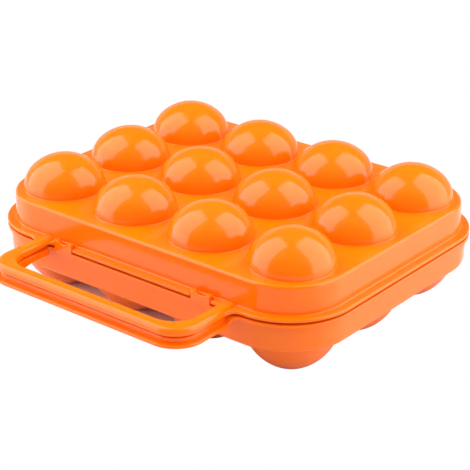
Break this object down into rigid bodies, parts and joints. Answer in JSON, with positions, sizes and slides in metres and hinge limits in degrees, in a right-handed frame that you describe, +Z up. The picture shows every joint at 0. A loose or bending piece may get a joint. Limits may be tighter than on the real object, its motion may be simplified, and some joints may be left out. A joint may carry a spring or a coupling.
{
  "type": "egg storage box",
  "caption": "Clamshell egg box with an egg cup for each cell of its tray, matching domes in the hinged lid, catch blocks and a split handle loop at the front.",
  "frame": {"origin": "on the floor under the middle of the whole outline, handle and hinge included", "axes": "+Z up, X along the handle side, -Y towards the handle, lid closed"},
  "size_m": [0.2088, 0.209, 0.0699],
  "materials": {
    "base_plastic": "gloss",
    "lid_plastic": "gloss",
    "hinge_pin": "gloss"
  },
  "bodies": {
    "base": {"base_tray": "base_plastic", "base_handle": "base_plastic", "cup_front_1": "base_plastic", "cup_front_2": "base_plastic", "cup_front_3": "base_plastic", "cup_front_4": "base_plastic", "cup_middle_1": "base_plastic", "cup_middle_2": "base_plastic", "cup_middle_3": "base_plastic", "cup_middle_4": "base_plastic", "cup_rear_1": "base_plastic", "cup_rear_2": "base_plastic", "cup_rear_3": "base_plastic", "cup_rear_4": "base_plastic", "catch_left": "base_plastic", "catch_right": "base_plastic", "base_ear_left_a": "base_plastic", "base_ear_left_b": "base_plastic", "base_ear_right_a": "base_plastic", "base_ear_right_b": "base_plastic", "hinge_pin_left": "hinge_pin", "hinge_pin_right": "hinge_pin"},
    "lid": {"lid_shell": "lid_plastic", "lid_handle": "lid_plastic", "dome_front_1": "lid_plastic", "dome_front_2": "lid_plastic", "dome_front_3": "lid_plastic", "dome_front_4": "lid_plastic", "dome_middle_1": "lid_plastic", "dome_middle_2": "lid_plastic", "dome_middle_3": "lid_plastic", "dome_middle_4": "lid_plastic", "dome_rear_1": "lid_plastic", "dome_rear_2": "lid_plastic", "dome_rear_3": "lid_plastic", "dome_rear_4": "lid_plastic", "lid_knuckle_left": "lid_plastic", "lid_knuckle_right": "lid_plastic"}
  },
  "joints": [
    {"name": "lid_hinge", "type": "hinge", "parent": "base", "child": "lid", "pos_m": [0, 0.1015, 0.03595], "axis": [-1, 0, 0], "range_deg": [0, 180]}
  ]
}
